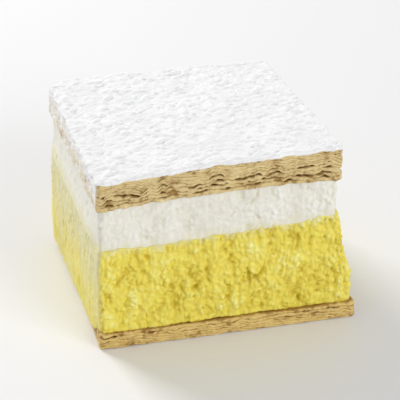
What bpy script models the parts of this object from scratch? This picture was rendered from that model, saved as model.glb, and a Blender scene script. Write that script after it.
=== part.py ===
"""A cut square of cream slice: puff pastry base, set custard, whipped cream and a puff pastry lid.

The slice stands on its base with +Z up. Its front cut runs along X and faces -Y, and the origin is
under the middle of its box. Every layer is one closed block that runs right through the slice.
Each block starts as a cube, is divided along its three axes, and is then shaped by functions of
where a point lies: across (0 left, 1 right), back (0 front, 1 back) and up (0 floor, 1 ceiling).
"""

import math

import bmesh
import bpy
from mathutils import Vector

# The slice in plan, in metres. The cuts aren't quite square: the right one turns in towards the back.
DEPTH = 0.059
FRONT_WIDTH = 0.0705
BACK_WIDTH = 0.0655
LEFT_SKEW = 0.0025

# The soft custard has spread at its foot, most of all to the right.
RIGHT_SPREAD = 0.0045
FRONT_SPREAD = 0.0010
SPREAD_HEIGHT = 0.034

# The height at which each layer ends, at the left, in the middle and at the right, first of the
# front cut and then of the back one. In front the custard is thickest at the right, and the cream
# is heaped up in the middle.
GROUND = ((0.0, 0.0, 0.0), (0.0, 0.0, 0.0))
BASE_TOP = ((0.0050, 0.0050, 0.0047), (0.0050, 0.0050, 0.0050))
CUSTARD_TOP = ((0.0325, 0.0328, 0.0352), (0.0325, 0.0325, 0.0330))
CREAM_TOP = ((0.0459, 0.0475, 0.0462), (0.0459, 0.0460, 0.0445))
LID_TOP = ((0.0550, 0.0577, 0.0574), (0.0550, 0.0552, 0.0546))

# The layers meet in gentle waves, with a narrow gap between the two blocks.
JOINT_GAP = 0.0003
JOINT_WAVE = 0.0005
LID_WAVE = 0.0004
CUT_WAVE = 0.0004
WAVE_LENGTH = 0.027
PHASE_PER_METRE = 670.0

# Pastry leaves stand out and fall back in turn along the cut.
LEAF_STEP = 0.0005
SOFT_EDGE = 0.0009

ACROSS_CUTS = 18
BACK_CUTS = 15


def mix(low, high, share):
    """The value a share of the way from low to high."""
    return low + (high - low) * share


def arch(heights, across):
    """The height on the parabola through the left, middle and right heights, a share of the way across."""
    left, middle, right = heights
    bow = middle - (left + right) / 2
    return mix(left, right, across) + 4 * bow * across * (1 - across)


def joint_height(joint, across, back):
    """The height of a joint between its arch along the front cut and its arch along the back one."""
    front_heights, back_heights = joint
    return mix(arch(front_heights, across), arch(back_heights, across), back)


def ripple(a, b, phase):
    """A smooth uneven wave between about -1 and 1, from three sines that run in different directions."""
    turn = 2 * math.pi / WAVE_LENGTH
    first = math.sin(turn * a + phase)
    second = math.sin(turn * (0.62 * a + 0.81 * b) + 2.1 * phase)
    third = math.sin(turn * (1.37 * b - 0.55 * a) + 0.7 * phase)
    return (first + second + third) / 3


class Layer:
    """One layer of the slice: where it starts and ends, its colour and how its cut edge looks."""

    def __init__(self, name, colour, roughness, phase):
        """Keep the layer's name, its finish and the phase that makes its waves its own."""
        self.name = name
        self.colour = colour
        self.roughness = roughness
        self.phase = phase
        self.floor = GROUND
        self.ceiling = GROUND
        self.floor_wave = JOINT_WAVE
        self.ceiling_wave = JOINT_WAVE
        self.proud = {"left": (0.0, 0.0), "right": (0.0, 0.0), "front": 0.0, "back": 0.0}
        self.swell = 0.0
        self.leaves = 0
        self.up_cuts = 2

    def between(self, floor, ceiling):
        """Set the joints where the layer starts and ends, each as its front and its back heights."""
        self.floor = floor
        self.ceiling = ceiling
        return self

    def level(self, across, back, x, y, up):
        """The height of a point: its share of the way from the wavy floor to the wavy ceiling."""
        low = joint_height(self.floor, across, back)
        high = joint_height(self.ceiling, across, back)
        low_gap = 0.0 if self.floor == GROUND else JOINT_GAP / 2
        high_gap = 0.0 if self.ceiling == LID_TOP else JOINT_GAP / 2
        low += low_gap + self.floor_wave * ripple(x, y, wave_phase(self.floor))
        high += self.ceiling_wave * ripple(x, y, wave_phase(self.ceiling)) - high_gap
        return mix(low, high, up)

    def cut_relief(self, up):
        """How far the cut face stands out at this height: a swelling, or leaves that step in and out."""
        if self.leaves:
            row = round(up * (self.up_cuts + 1))
            return LEAF_STEP if row % 2 else -LEAF_STEP
        return self.swell * math.sin(math.pi * up)


def wave_phase(joint):
    """A phase that two layers share where they meet, so that one fits the other."""
    return PHASE_PER_METRE * joint[0][0]


def spread(height):
    """How much of the spread at the foot is left at this height: all of it at the floor, none at the top."""
    left = max(0.0, 1 - height / SPREAD_HEIGHT)
    return left * left * (3 - 2 * left)


def place(layer, across, back, up):
    """Where a point of a layer lies, from its shares of the way across, back and up."""
    rough_height = mix(joint_height(layer.floor, across, back), joint_height(layer.ceiling, across, back), up)
    foot = spread(rough_height)
    out = layer.cut_relief(up)
    half_depth = DEPTH / 2
    front_y = -half_depth - layer.proud["front"] - out - FRONT_SPREAD * foot
    back_y = half_depth + layer.proud["back"] + out
    y = mix(front_y, back_y, back)
    left_x = -FRONT_WIDTH / 2 - LEFT_SKEW * back - mix(*layer.proud["left"], back) - out
    width = mix(FRONT_WIDTH, BACK_WIDTH, back)
    right_x = -FRONT_WIDTH / 2 - LEFT_SKEW * back + width
    right_x += mix(*layer.proud["right"], back) + out + RIGHT_SPREAD * foot
    x = mix(left_x, right_x, across)
    x += CUT_WAVE * (2 * across - 1) * ripple(y, rough_height, layer.phase)
    y += CUT_WAVE * (2 * back - 1) * ripple(x, rough_height, layer.phase + 1)
    return Vector((x, y, layer.level(across, back, x, y, up)))


def divide(bm, axis, cuts):
    """Divide the edges that run along one axis into equal lengths."""
    along = []
    for edge in bm.edges:
        run = edge.verts[1].co - edge.verts[0].co
        if abs(run[axis]) > 0.5 * run.length:
            along.append(edge)
    bmesh.ops.subdivide_edges(bm, edges=along, cuts=cuts)


def finish(layer):
    """The layer's material: a Principled BSDF with its colour and roughness."""
    material = bpy.data.materials.new(layer.name)
    material.use_nodes = True
    shader = material.node_tree.nodes["Principled BSDF"]
    shader.inputs["Base Color"].default_value = (*layer.colour, 1.0)
    shader.inputs["Roughness"].default_value = layer.roughness
    shader.inputs["Metallic"].default_value = 0.0
    return material


def block(layer, collection):
    """Build one layer as its own object: a divided cube, shaped, with its soft edges rounded."""
    bm = bmesh.new()
    bmesh.ops.create_cube(bm, size=1.0)
    for axis, cuts in enumerate((ACROSS_CUTS, BACK_CUTS, layer.up_cuts)):
        divide(bm, axis, cuts)
    for vert in bm.verts:
        across, back, up = (value + 0.5 for value in vert.co)
        vert.co = place(layer, across, back, up)
    mesh = bpy.data.meshes.new(layer.name)
    bm.to_mesh(mesh)
    bm.free()
    mesh.materials.append(finish(layer))
    mesh.shade_smooth()
    mesh.set_sharp_from_angle(angle=math.radians(35))
    obj = bpy.data.objects.new(layer.name, mesh)
    collection.objects.link(obj)
    if not layer.leaves:
        rounding = obj.modifiers.new("soft_edge", "BEVEL")
        rounding.width = SOFT_EDGE
        rounding.segments = 2
        rounding.limit_method = "ANGLE"
        rounding.angle_limit = math.radians(50)
    return obj


def layers():
    """The four layers from the base up, each starting where the one below it ends."""
    base = Layer("base_pastry", (0.56, 0.35, 0.13), 0.75, 0.4).between(GROUND, BASE_TOP)
    base.floor_wave = 0.0
    base.proud = {"left": (0.0004, -0.0028), "right": (0.0004, 0.0004), "front": 0.0006, "back": 0.0002}
    base.leaves = 2
    base.up_cuts = 3

    custard = Layer("custard", (0.83, 0.68, 0.10), 0.5, 1.7).between(BASE_TOP, CUSTARD_TOP)
    custard.swell = 0.0009
    custard.up_cuts = 7

    cream = Layer("whipped_cream", (0.86, 0.84, 0.78), 0.6, 2.9).between(CUSTARD_TOP, CREAM_TOP)
    cream.proud = {"left": (-0.0002, -0.0002), "right": (-0.0006, -0.0006), "front": -0.0003, "back": -0.0003}
    cream.swell = 0.0003
    cream.up_cuts = 3

    lid = Layer("lid_pastry", (0.60, 0.40, 0.16), 0.75, 4.3).between(CREAM_TOP, LID_TOP)
    lid.ceiling_wave = LID_WAVE
    lid.leaves = 3
    lid.up_cuts = 5
    return [base, custard, cream, lid]


def stand_on_origin(objects, carrier):
    """Move the empty that carries the layers, so that the origin is under the middle of their box."""
    for obj in objects:
        obj.parent = carrier
    bpy.context.view_layer.update()
    graph = bpy.context.evaluated_depsgraph_get()
    corners = []
    for obj in objects:
        evaluated = obj.evaluated_get(graph)
        corners += [evaluated.matrix_world @ vert.co for vert in evaluated.data.vertices]
    low = [min(corner[axis] for corner in corners) for axis in range(3)]
    high = [max(corner[axis] for corner in corners) for axis in range(3)]
    carrier.location = (-(low[0] + high[0]) / 2, -(low[1] + high[1]) / 2, -low[2])


def main():
    """Clear the scene and build the slice."""
    for obj in list(bpy.data.objects):
        bpy.data.objects.remove(obj)
    collection = bpy.data.collections.new("cream_slice")
    bpy.context.scene.collection.children.link(collection)
    carrier = bpy.data.objects.new("slice", None)
    collection.objects.link(carrier)
    built = [block(layer, collection) for layer in layers()]
    stand_on_origin(built, carrier)


main()
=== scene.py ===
"""Looks of a cut square of cream slice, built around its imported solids.

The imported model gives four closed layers: pastry base, custard, whipped cream and pastry lid.
This script reads where their corners are and stands a detailed surface in the place of each:
torn custard and cream as one wall carried round the slice, pastry as a stack of separate
leaves, and the icing sugar as a lumpy sheet on the lid. All lengths are metres.
"""

from __future__ import annotations

import logging
import math
from dataclasses import dataclass
from enum import Enum

import bpy
import numpy as np
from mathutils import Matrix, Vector

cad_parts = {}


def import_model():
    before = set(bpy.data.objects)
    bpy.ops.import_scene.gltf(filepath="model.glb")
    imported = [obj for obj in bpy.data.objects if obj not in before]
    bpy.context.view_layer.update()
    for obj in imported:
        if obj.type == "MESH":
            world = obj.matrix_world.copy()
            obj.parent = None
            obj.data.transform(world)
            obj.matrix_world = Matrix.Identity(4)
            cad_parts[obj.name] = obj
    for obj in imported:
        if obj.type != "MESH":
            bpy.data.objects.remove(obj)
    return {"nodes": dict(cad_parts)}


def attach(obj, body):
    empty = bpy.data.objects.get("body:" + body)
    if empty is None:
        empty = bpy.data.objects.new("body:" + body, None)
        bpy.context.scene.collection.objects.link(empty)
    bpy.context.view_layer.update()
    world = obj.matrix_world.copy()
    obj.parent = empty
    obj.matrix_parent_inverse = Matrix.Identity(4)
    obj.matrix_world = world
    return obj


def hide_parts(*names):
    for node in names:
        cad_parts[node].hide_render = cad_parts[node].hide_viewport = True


LOG = logging.getLogger("cream_slice")
MM = 0.001
BODY = "root"
Colour = tuple[float, float, float]
Size = float | tuple[float, float, float] | np.ndarray
Ends = tuple[float, float]
Socket = bpy.types.NodeSocket

# Multiplied by this, places lose their height, so that a noise of them is the same all the way up.
FLAT = (1, 1, 0)

# Noise: multipliers and shifts that spread neighbouring whole numbers over 32 bits, the factor that
# brings gradient noise to about -1 to 1, and the free share at each end of a seed's cell.
INDEX_FACTORS = (0x9E3779B1, 0x85EBCA77, 0xC2B2AE3D)
SEED_FACTOR = 0x27D4EB2F
SEED_START = 0x165667B1
MIXING = ((15, 0x2C1B3C6D), (12, 0x297A2D39))
LAST_SHIFT = 15
ALL_BITS = 0xFFFFFFFF
NOISE_GAIN = 1.6
CELL_MARGIN = 0.15

# Reading a packed layer: how near a corner a point must be, how far from the middle the strip lies
# that shows its arch and how wide it is, and the share of a level's spacing that counts as level.
CORNER_REACH = 9 * MM
STRIP_START = 12 * MM
STRIP_HALF_WIDTH = 4 * MM
LEVEL_WINDOW = 0.6


class Side(Enum):
    """The four cuts of the slice, each with the way it faces in plan."""

    FRONT = (0.0, -1.0)
    RIGHT = (1.0, 0.0)
    BACK = (0.0, 1.0)
    LEFT = (-1.0, 0.0)


# ---- Noise, worked out for whole arrays of points ----


def lattice_random(cells: np.ndarray, seed: int) -> np.ndarray:
    """Give each lattice cell a fixed random number by mixing the bits of its three indices.

    Args:
        cells: Whole numbers, shaped (..., 3).
        seed: Chooses one of many independent sets of numbers.

    Returns:
        Numbers from 0 to 1, shaped (...).
    """
    key = cells.astype(np.int64).astype(np.uint64)
    mixed = (key * np.array(INDEX_FACTORS, np.uint64)).sum(-1) + np.uint64(seed * SEED_FACTOR + SEED_START)
    for shift, factor in MIXING:
        mixed ^= mixed >> np.uint64(shift)
        mixed = (mixed * np.uint64(factor)) & np.uint64(ALL_BITS)
    mixed ^= mixed >> np.uint64(LAST_SHIFT)
    return mixed.astype(np.float64) / float(ALL_BITS)


def mm(*lengths: float) -> np.ndarray:
    """Lengths given in millimetres, as an array in metres."""
    return np.array(lengths) * MM


def smooth(share: np.ndarray) -> np.ndarray:
    """Ease a share from 0 to 1 with the cubic 3s^2 - 2s^3, held at 0 and 1 beyond the ends."""
    held = np.clip(share, 0.0, 1.0)
    return held * held * (3.0 - 2.0 * held)


def gradient_noise(points: np.ndarray, size: Size, seed: int) -> np.ndarray:
    """Gradient noise: eight random slopes at a cell's corners, blended by eased distance.

    Args:
        points: Places, shaped (..., 3).
        size: The length of a cell, the same all round or one for each axis.
        seed: Chooses the pattern.

    Returns:
        Values of about -1 to 1, shaped (...).
    """
    scaled = points / np.asarray(size, float)
    base = np.floor(scaled)
    inside = scaled - base
    ease = smooth(inside)
    total = np.zeros(points.shape[:-1])
    for corner in np.ndindex(2, 2, 2):
        step = np.array(corner, float)
        cell = base + step
        slope = np.stack([lattice_random(cell, 3 * seed + axis) for axis in range(3)], -1) * 2.0 - 1.0
        weight = np.prod(np.where(step > 0, ease, 1.0 - ease), axis=-1)
        total += weight * np.sum(slope * (inside - step), axis=-1)
    return total * NOISE_GAIN


def fractal_noise(points: np.ndarray, size: Size, seed: int, octaves: int = 3) -> np.ndarray:
    """Gradient noise summed over octaves, each half as large and half as strong as the last.

    Args:
        points: Places, shaped (..., 3).
        size: The length of the first octave's cell, the same all round or one for each axis.
        seed: Chooses the pattern.
        octaves: How many noises are summed.

    Returns:
        Values of about -1 to 1, shaped (...).
    """
    total = np.zeros(points.shape[:-1])
    for octave in range(octaves):
        share = 0.5**octave
        total += share * gradient_noise(points, np.asarray(size, float) * share, seed + 17 * octave)
    return total / (2.0 - 0.5 ** (octaves - 1))


def cell_noise(points: np.ndarray, size: Size, seed: int) -> tuple[np.ndarray, np.ndarray, np.ndarray]:
    """Distances to scattered seeds, one in each cell of a lattice.

    Args:
        points: Places, shaped (..., 3).
        size: The length of a cell, the same all round or one for each axis.
        seed: Chooses the pattern.

    Returns:
        The distance to the nearest seed and to the second, in cells, and the nearest
        seed's own random number from 0 to 1.
    """
    scaled = points / np.asarray(size, float)
    base = np.floor(scaled)
    nearest = np.full(points.shape[:-1], math.inf)
    second = nearest.copy()
    chosen = np.zeros(points.shape[:-1])
    for step in np.ndindex(3, 3, 3):
        cell = base + np.array(step, float) - 1.0
        jitter = np.stack([lattice_random(cell, 5 * seed + axis) for axis in range(3)], -1)
        gap = np.linalg.norm(cell + CELL_MARGIN + (1.0 - 2.0 * CELL_MARGIN) * jitter - scaled, axis=-1)
        closer = gap < nearest
        second = np.where(closer, nearest, np.minimum(second, gap))
        chosen = np.where(closer, lattice_random(cell, 5 * seed + 3), chosen)
        nearest = np.where(closer, gap, nearest)
    return nearest, second, chosen


# ---- Meshes ----


def grid_quads(rows: int, columns: int, wrap_rows: bool = False, wrap_columns: bool = False) -> np.ndarray:
    """Corner indices of the quads of a grid whose points are numbered row by row.

    Args:
        rows: Number of rows of points.
        columns: Number of points in a row.
        wrap_rows: Join the last row to the first.
        wrap_columns: Join each row's last point to its first.

    Returns:
        Indices shaped (quads, 4), turning the way row x column turns.
    """
    row = np.arange(rows if wrap_rows else rows - 1)[:, None]
    column = np.arange(columns if wrap_columns else columns - 1)[None, :]
    next_row = (row + 1) % rows
    next_column = (column + 1) % columns
    corners = (
        row * columns + column,
        row * columns + next_column,
        next_row * columns + next_column,
        next_row * columns + column,
    )
    return np.stack([np.broadcast_to(c, (row.size, column.size)) for c in corners], -1).reshape(-1, 4)


def make_piece(
    name: str,
    material: bpy.types.Material,
    points: np.ndarray,
    quads: np.ndarray,
    triangles: np.ndarray | None = None,
    attributes: dict[str, np.ndarray] | None = None,
) -> bpy.types.Object:
    """Put arrays of points and faces into a smooth shaded mesh object at the origin.

    Args:
        name: The piece's name.
        material: What it is dressed in.
        points: Places, shaped (n, 3).
        quads: Corner indices, shaped (m, 4).
        triangles: Corner indices, shaped (k, 3), such as a fan round a pole.
        attributes: Named values from 0 to 1, one for each point, for the materials to read.

    Returns:
        The new object, linked to the scene.
    """
    triangles = np.empty((0, 3), int) if triangles is None else triangles
    corners = np.concatenate([quads.ravel(), triangles.ravel()]).astype(np.int32)
    starts = np.concatenate([4 * np.arange(len(quads)), 4 * len(quads) + 3 * np.arange(len(triangles))])
    mesh = bpy.data.meshes.new(name)
    mesh.vertices.add(len(points))
    mesh.vertices.foreach_set("co", points.astype(np.float32).ravel())
    mesh.loops.add(len(corners))
    mesh.loops.foreach_set("vertex_index", corners)
    mesh.polygons.add(len(starts))
    mesh.polygons.foreach_set("loop_start", starts.astype(np.int32))
    mesh.update(calc_edges=True)
    mesh.validate()
    mesh.shade_smooth()
    for label, values in (attributes or {}).items():
        layer = mesh.attributes.new(label, "FLOAT", "POINT")
        layer.data.foreach_set("value", values.astype(np.float32).ravel())
    mesh.materials.append(material)
    piece = bpy.data.objects.new(name, mesh)
    bpy.context.scene.collection.objects.link(piece)
    return piece


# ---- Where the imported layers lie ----


@dataclass(frozen=True)
class LayerPlace:
    """The room that one packed layer fills, read from its corners at several heights.

    Attributes:
        corners: Corner places, shaped (levels, 2 back, 2 across, 3), from the floor up.
        bows: How far its floor and its ceiling arch up half way from left to right, at the front
            and at the back, shaped (2 floor and ceiling, 2 front and back).
    """

    corners: np.ndarray
    bows: np.ndarray

    @classmethod
    def read(cls, node: bpy.types.Object, levels: int) -> LayerPlace:
        """Read a node: at each level, the point furthest out towards each of the four corners.

        Args:
            node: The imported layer.
            levels: How many heights to read between its floor and its ceiling.

        Returns:
            The layer's place.
        """
        flat = np.empty(len(node.data.vertices) * 3)
        node.data.vertices.foreach_get("co", flat)
        points = flat.reshape(-1, 3)
        middle = (points.min(0) + points.max(0)) / 2.0
        found = np.zeros((levels, 2, 2, 3))
        for back, across in np.ndindex(2, 2):
            way = np.array([2.0 * across - 1.0, 2.0 * back - 1.0])
            reach = (points[:, :2] - middle[:2]) @ way
            near = points[reach > reach.max() - CORNER_REACH]
            near_reach = (near[:, :2] - middle[:2]) @ way
            heights = np.linspace(near[:, 2].min(), near[:, 2].max(), levels)
            window = LEVEL_WINDOW * (heights[1] - heights[0])
            for level, height in enumerate(heights):
                ranked = np.where(np.abs(near[:, 2] - height) < window, near_reach, -1.0)
                found[level, back, across, :2] = near[ranked.argmax(), :2]
                found[level, back, across, 2] = height
        bows = np.zeros((2, 2))
        for back in range(2):
            outward = (points[:, 1] - middle[1]) * (2.0 * back - 1.0)
            strip = points[(np.abs(points[:, 0] - middle[0]) < STRIP_HALF_WIDTH) & (outward > STRIP_START), 2]
            ends = strip[strip < strip.min() + MM].mean(), strip[strip > strip.max() - MM].mean()
            bows[:, back] = ends - found[[0, -1], back, :, 2].mean(1)
        return cls(found, bows)

    def at(self, across: np.ndarray, back: np.ndarray, up: np.ndarray) -> np.ndarray:
        """Places inside the layer, mixed from the eight corners round each and lifted by the arch.

        The arch is a parabola across, 0 at the left and right, mixed from the floor's to the ceiling's.

        Args:
            across: Share of the way from left to right.
            back: Share of the way from front to back.
            up: Share of the way from floor to ceiling.

        Returns:
            Places, shaped (..., 3).
        """
        across, back, up = np.broadcast_arrays(across, back, up)
        level = np.clip(up, 0.0, 1.0) * (len(self.corners) - 1)
        low = np.minimum(level.astype(int), len(self.corners) - 2)
        share = (level - low)[..., None, None, None]
        quad = self.corners[low] * (1.0 - share) + self.corners[low + 1] * share
        row = quad[..., 0, :, :] * (1.0 - back[..., None, None]) + quad[..., 1, :, :] * back[..., None, None]
        points = row[..., 0, :] * (1.0 - across[..., None]) + row[..., 1, :] * across[..., None]
        ends = self.bows[:, 0, None] + (self.bows[:, 1] - self.bows[:, 0])[:, None] * back.ravel()
        bow = ends[0] + (ends[1] - ends[0]) * np.clip(up, 0.0, 1.0).ravel()
        points[..., 2] += 4.0 * across * (1.0 - across) * bow.reshape(back.shape)
        return points

    @property
    def half(self) -> np.ndarray:
        """Half the width and half the depth of the layer."""
        return np.array([np.ptp(self.corners[..., 0]), np.ptp(self.corners[..., 1])]) / 2.0

    @property
    def height(self) -> float:
        """The layer's mean height, two thirds of the way up its arch."""
        rise = float((self.bows[1] - self.bows[0]).mean())
        return float(np.ptp(self.corners[..., 2].mean((1, 2)))) + 2.0 / 3.0 * rise

    def wall(
        self, spots: np.ndarray, up: np.ndarray, inset: np.ndarray, share: np.ndarray | float = 0.0
    ) -> np.ndarray:
        """Places on the layer's wall, or moved from it towards the middle.

        Args:
            spots: Shares across and back of the points round the wall, shaped (count, 2).
            up: Share of the way up, which spreads against the count.
            inset: Distance in from the wall, in metres.
            share: Further part of the way to the middle, from 0 to 1.

        Returns:
            Places, shaped (..., count, 3).
        """
        inset, share = np.asarray(inset, float)[..., None], np.asarray(share, float)[..., None]
        moved = 0.5 + (spots - 0.5) * (1.0 - inset / self.half) * (1.0 - share)
        return self.at(moved[..., 0], moved[..., 1], up)


def outline(count: int, place: LayerPlace, rounding: float) -> tuple[np.ndarray, np.ndarray]:
    """Points evenly spaced round a rectangle with round corners, in shares across and back.

    The path runs anticlockwise from the middle of the back. Its corners are quarter circles.

    Args:
        count: Number of points.
        place: The layer whose width and depth turn the rounding into shares.
        rounding: Radius of the corners.

    Returns:
        Shares across and back, and the outward directions, each shaped (count, 2).
    """
    straight = place.half - rounding
    arc = math.pi / 2.0 * rounding
    spots = np.zeros((count, 2))
    ways = np.zeros((count, 2))
    travelled = np.arange(count) / count * (4.0 * straight.sum() + 4.0 * arc)
    start = 0.0
    for corner, sign in enumerate(((-1, 1), (-1, -1), (1, -1), (1, 1))):
        centre = straight * sign
        before, after = straight[corner % 2], straight[1 - corner % 2]
        gone = travelled - start
        on = (gone >= 0.0) & (gone < before + arc + after)
        turned = np.clip((gone[on] - before) / arc, 0.0, 1.0)
        angle = math.pi / 2.0 * (corner + 1 + turned)
        way = np.stack([np.cos(angle), np.sin(angle)], -1)
        heading = np.stack([-way[:, 1], way[:, 0]], -1)
        beyond = np.minimum(gone[on] - before, 0.0) + np.maximum(gone[on] - before - arc, 0.0)
        ways[on] = way
        spots[on] = centre + rounding * way + beyond[:, None] * heading
        start += before + arc + after
    return spots / (2.0 * place.half) + 0.5, ways


def side_weight(ways: np.ndarray, side: Side) -> np.ndarray:
    """How much an outward direction belongs to a side: its cosine squared, or 0 if it faces away."""
    return np.clip(ways @ np.array(side.value), 0.0, 1.0) ** 2


# ---- Shader node groups that several finishes share ----


# Where the sum of noise and amount starts to show dusting, and where the dusting is full.
DUSTING_ENDS = (0.82, 1.14)

# A Mix node's sockets for colours: the first of its two inputs, and its output.
MIX_COLOURS = 6
MIXED_COLOUR = 2


class NodeSketch:
    """Adds nodes to one shader node tree and links them, with short calls."""

    def __init__(self, tree: bpy.types.NodeTree) -> None:
        """Keep the tree that the nodes go into."""
        self.tree = tree

    def add(self, kind: str, **values: object) -> bpy.types.Node:
        """Add a node and set its sockets and settings.

        Args:
            kind: The node's type, without the ShaderNode at its front.
            **values: Sockets by name, with _ for a space, or settings of the node in lower case.

        Returns:
            The new node.
        """
        node = self.tree.nodes.new("ShaderNode" + kind)
        for name, value in values.items():
            if name[0].islower():
                setattr(node, name, value)
                continue
            self.feed(node.inputs[name.replace("_", " ")], value)
        return node

    def feed(self, socket: Socket, value: object) -> None:
        """Link a socket to another node's output, or set its value.

        Args:
            socket: The input to fill.
            value: An output of another node, a number, a vector or a colour.
        """
        if isinstance(value, Socket):
            self.tree.links.new(value, socket)
            return
        socket.default_value = (*value, 1.0) if socket.type == "RGBA" and len(value) == 3 else value

    def combine(
        self, kind: str, values: tuple[object, ...], first: int = 0, **settings: object
    ) -> bpy.types.Node:
        """Add a node and fill its sockets by their order.

        Args:
            kind: The node's type, without the ShaderNode at its front.
            values: What the sockets hold or are linked to.
            first: Number of the first of these sockets.
            **settings: Settings of the node.

        Returns:
            The new node.
        """
        node = self.add(kind, **settings)
        for socket, value in zip(node.inputs[first:], values):
            self.feed(socket, value)
        return node

    def maths(self, operation: str, first: object, second: object, clamp: bool = False) -> Socket:
        """Combine two values with a Math node and return its output."""
        return self.combine("Math", (first, second), operation=operation, use_clamp=clamp).outputs[0]

    def blend(self, share: object, first: object, second: object) -> Socket:
        """Mix two colours.

        Args:
            share: Share of the second colour.
            first: The first colour.
            second: The second colour.

        Returns:
            The mixed colour.
        """
        node = self.combine("Mix", (first, second), first=MIX_COLOURS, data_type="RGBA")
        self.feed(node.inputs["Factor"], share)
        return node.outputs[MIXED_COLOUR]

    def span(self, value: object, ends: Ends, to: Ends = (0.0, 1.0)) -> Socket:
        """Map the range between two ends to another one, with eased ends, and return the result."""
        values = (value, *ends, *to)
        return self.combine("MapRange", values, interpolation_type="SMOOTHSTEP").outputs[0]

    def noise(self, place: object, scale: object, detail: float, roughness: float = 0.5) -> Socket:
        """Add a Noise Texture and return its grey value."""
        node = self.add("TexNoise", Vector=place, Scale=scale, Detail=detail, Roughness=roughness)
        return node.outputs["Fac"]

    def attribute(self, name: str) -> Socket:
        """Read one of the piece's own attributes as a number."""
        return self.add("Attribute", attribute_name=name).outputs["Fac"]


def new_group(
    name: str, inputs: dict[str, object], output: str, kind: str
) -> tuple[NodeSketch, bpy.types.NodeOutputs, Socket]:
    """Start a shader node group with named sockets, the first of which is the place on the piece.

    Args:
        name: The group's name.
        inputs: Default values by name; a tuple makes a colour socket, a number a float.
        output: Name of its output.
        kind: Float or Color, the kind of its output.

    Returns:
        A sketch of the group's tree, what comes in, and the socket that goes out.
    """
    tree = bpy.data.node_groups.new(name, "ShaderNodeTree")
    tree.interface.new_socket("Place", in_out="INPUT", socket_type="NodeSocketVector")
    for label, value in inputs.items():
        number = isinstance(value, float)
        socket_type = "NodeSocketFloat" if number else "NodeSocketColor"
        socket = tree.interface.new_socket(label, in_out="INPUT", socket_type=socket_type)
        socket.default_value = value if number else (*value, 1.0)
    tree.interface.new_socket(output, in_out="OUTPUT", socket_type="NodeSocket" + kind)
    given = tree.nodes.new("NodeGroupInput")
    made = tree.nodes.new("NodeGroupOutput")
    return NodeSketch(tree), given.outputs, made.inputs[output]


def grain_group() -> bpy.types.NodeTree:
    """Small relief of a dry or torn surface: two noises, a coarse and a fine one, added as a height.

    Returns:
        The group's tree.
    """
    inputs = {"Coarse Scale": 900.0, "Fine Scale": 3200.0, "Fine Share": 0.4}
    sketch, given, made = new_group("Grain", inputs, "Height", "Float")
    coarse = sketch.noise(given["Place"], given["Coarse Scale"], 3.0, 0.55)
    fine = sketch.noise(given["Place"], given["Fine Scale"], 2.0, 0.6)
    weighed = sketch.maths("MULTIPLY", fine, given["Fine Share"])
    sketch.feed(made, sketch.maths("ADD", coarse, weighed))
    return sketch.tree


def tone_and_shade_group() -> bpy.types.NodeTree:
    """Tone with painted shade and highlight: the relief moves a surface from a shade colour in its hollows
    through a body colour to a highlight colour on its crests, and a broad and a small noise move it further.

    The Crest input is the piece's own relief, 0 in its hollows and 1 on its crests. The dark hollows are
    painted shade and the light crests painted highlight; the noise adds tone that differs at random.

    Returns:
        The group's tree.
    """
    inputs = {"Crest": 0.5, "Broad Scale": 90.0, "Small Scale": 600.0, "Unevenness": 0.3,
              "Deep": (0.5, 0.5, 0.5), "Body": (0.6, 0.6, 0.6), "Peak": (0.7, 0.7, 0.7)}
    sketch, given, made = new_group("ToneAndShade", inputs, "Colour", "Color")
    broad = sketch.noise(given["Place"], given["Broad Scale"], 3.0)
    small = sketch.noise(given["Place"], given["Small Scale"], 2.0)
    centred = sketch.maths("SUBTRACT", sketch.maths("ADD", broad, small), 1.0)
    moved = sketch.maths("MULTIPLY", centred, given["Unevenness"])
    tone = sketch.maths("ADD", given["Crest"], moved, clamp=True)
    # Painted shade towards the hollows, painted highlight towards the crests, random tone from the noise.
    lower = sketch.blend(sketch.span(tone, (0.0, 0.5)), given["Deep"], given["Body"])
    sketch.feed(made, sketch.blend(sketch.span(tone, (0.5, 1.0)), lower, given["Peak"]))
    return sketch.tree


def dusting_group() -> bpy.types.NodeTree:
    """Icing sugar caught on a surface: a mask of specks and drifts, thicker where Amount is high.

    The mean of two noises and the amount are added, and the sum is opened between the dusting's ends.

    Returns:
        The group's tree.
    """
    inputs = {"Amount": 0.5, "Speck Scale": 1500.0, "Drift Scale": 260.0, "Under": (0.5, 0.5, 0.5),
              "Sugar": (0.9, 0.9, 0.9)}
    sketch, given, made = new_group("Dusting", inputs, "Colour", "Color")
    specks = sketch.noise(given["Place"], given["Speck Scale"], 4.0, 0.7)
    drifts = sketch.noise(given["Place"], given["Drift Scale"], 3.0, 0.6)
    mean = sketch.maths("MULTIPLY", sketch.maths("ADD", specks, drifts), 0.5)
    mask = sketch.span(sketch.maths("ADD", mean, given["Amount"]), DUSTING_ENDS)
    sketch.feed(made, sketch.blend(mask, given["Under"], given["Sugar"]))
    return sketch.tree


# ---- Finishes ----


def linear(red: int, green: int, blue: int) -> Colour:
    """Turn an 8-bit sRGB colour into the linear one that the shaders use.

    Up to 0.04045 a share is divided by 12.92. Above that it is the power 2.4 of (share + 0.055) / 1.055.

    Args:
        red: From 0 to 255.
        green: From 0 to 255.
        blue: From 0 to 255.

    Returns:
        The three linear shares.
    """
    shares = np.array([red, green, blue]) / 255.0
    curve = np.where(shares <= 0.04045, shares / 12.92, ((shares + 0.055) / 1.055) ** 2.4)
    return float(curve[0]), float(curve[1]), float(curve[2])


SUGAR_WHITE = linear(246, 246, 246)

# Soft food lets a little light in: how deep, and how much deeper red and green go than blue.
LIGHT_DEPTH = 2 * MM
LIGHT_SHARES = (1.0, 0.7, 0.3)

# Scale of the glossier patches, and the values of their noise where gloss is least and most.
GLOSS_SCALE = 170.0
GLOSS_ENDS = (0.3, 0.7)


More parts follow.
